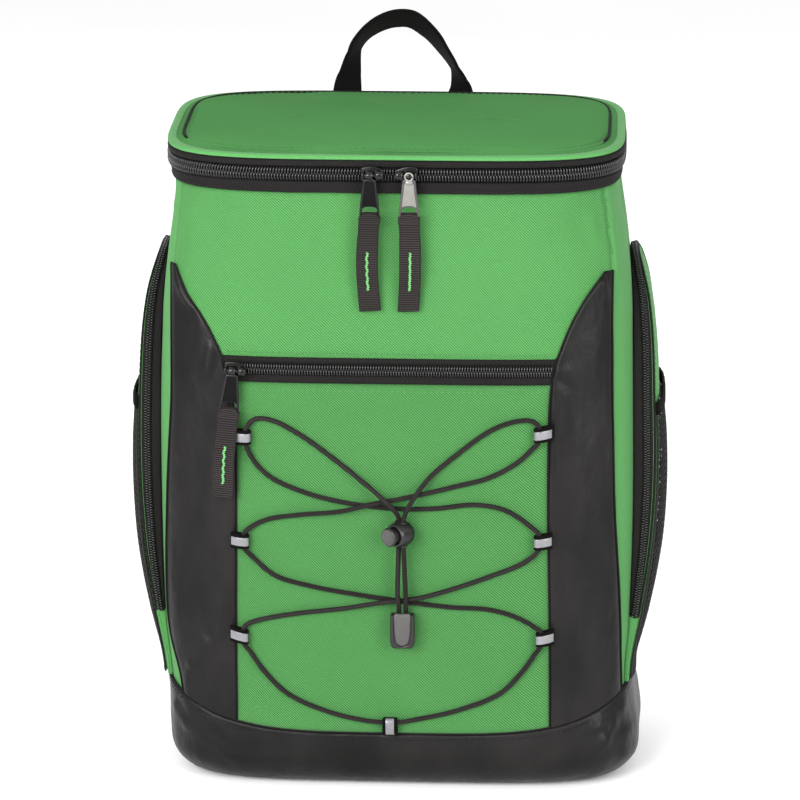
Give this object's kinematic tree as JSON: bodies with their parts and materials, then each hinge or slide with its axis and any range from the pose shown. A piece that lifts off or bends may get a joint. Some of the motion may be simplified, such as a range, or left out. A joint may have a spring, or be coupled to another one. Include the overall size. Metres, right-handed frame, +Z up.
{
  "type": "cooler backpack",
  "caption": "Insulated backpack with a zipped lid, a zipped front pocket under a laced elastic cord, zipped side pockets with net pockets, and a coated base.",
  "frame": {"origin": "centre of the flat bottom of the base", "axes": "+Z up, the front with the laced cord faces -Y, the back panel and shoulder straps face +Y, +X to the right seen from the front"},
  "size_m": [0.3583, 0.2572, 0.4947],
  "materials": {
    "green_fabric": "matte woven",
    "charcoal_coated": "satin coated cloth",
    "charcoal_padding": "matte woven",
    "net": "matte net",
    "zip_coil": "satin",
    "black_webbing": "ribbed weave",
    "elastic": "braided",
    "gunmetal": "satin",
    "black_metal": "gloss",
    "grey_plastic": "satin",
    "black_plastic": "satin"
  },
  "bodies": {
    "bag": {"body_shell": "green_fabric", "base_boot": "charcoal_coated", "wing_left": "charcoal_coated", "wing_right": "charcoal_coated", "front_pocket_panel": "green_fabric", "pocket_zip_tape": "black_webbing", "pocket_zip_coil": "zip_coil", "zip_tape_lower": "black_webbing", "lid_zip_coil": "zip_coil", "lid_hinge": "black_webbing", "zip_tape_upper": "black_webbing", "lid_top": "green_fabric", "lid_piping": "black_webbing", "lid_left_slider": "black_metal", "lid_right_slider": "black_metal", "pocket_slider": "black_metal", "side_zip_tape_left": "black_webbing", "side_zip_coil_left": "zip_coil", "side_panel_left": "green_fabric", "net_pocket_left": "net", "net_binding_left": "black_webbing", "side_zip_tape_right": "black_webbing", "side_zip_coil_right": "zip_coil", "side_panel_right": "green_fabric", "net_pocket_right": "net", "net_binding_right": "black_webbing", "elastic_cord": "elastic", "cord_loop_left_top": "black_webbing", "cord_loop_right_mid": "black_webbing", "cord_loop_left_low": "black_webbing", "cord_loop_bottom": "black_webbing", "cord_loop_right_low": "black_webbing", "cord_loop_left_mid": "black_webbing", "cord_loop_right_top": "black_webbing", "cord_lock_barrel": "black_plastic", "cord_end": "black_plastic", "haul_loop": "black_webbing", "back_panel": "charcoal_padding", "shoulder_strap_left": "charcoal_padding", "strap_buckle_left": "black_plastic", "strap_webbing_left": "black_webbing", "shoulder_strap_right": "charcoal_padding", "strap_buckle_right": "black_plastic", "strap_webbing_right": "black_webbing"},
    "lid_left_pull": {"lid_left_pull": "black_metal", "lid_left_ribbon": "black_webbing"},
    "lid_right_pull": {"lid_right_pull": "gunmetal", "lid_right_ribbon": "black_webbing"},
    "pocket_pull": {"pocket_pull": "black_metal", "pocket_ribbon": "black_webbing"},
    "lock_button": {"cord_lock_button": "grey_plastic"}
  },
  "joints": [
    {"name": "lid_left_pull_swing", "type": "hinge", "parent": "bag", "child": "lid_left_pull", "pos_m": [-0.0152, -0.09779, 0.41878], "axis": [-1, 0, 0], "range_deg": [0, 150]},
    {"name": "lid_right_pull_swing", "type": "hinge", "parent": "bag", "child": "lid_right_pull", "pos_m": [0.0102, -0.09779, 0.41878], "axis": [-1, 0, 0], "range_deg": [0, 150]},
    {"name": "pocket_pull_swing", "type": "hinge", "parent": "bag", "child": "pocket_pull", "pos_m": [-0.10438, -0.09795, 0.28886], "axis": [-0.9962, 0, 0.0872], "range_deg": [0, 150]},
    {"name": "lock_button_press", "type": "slide", "parent": "bag", "child": "lock_button", "axis": [0.6428, 0.766, 0], "range_m": [0, 0.003], "stiffness_N_per_m": 400, "springref_m": -0.004}
  ]
}
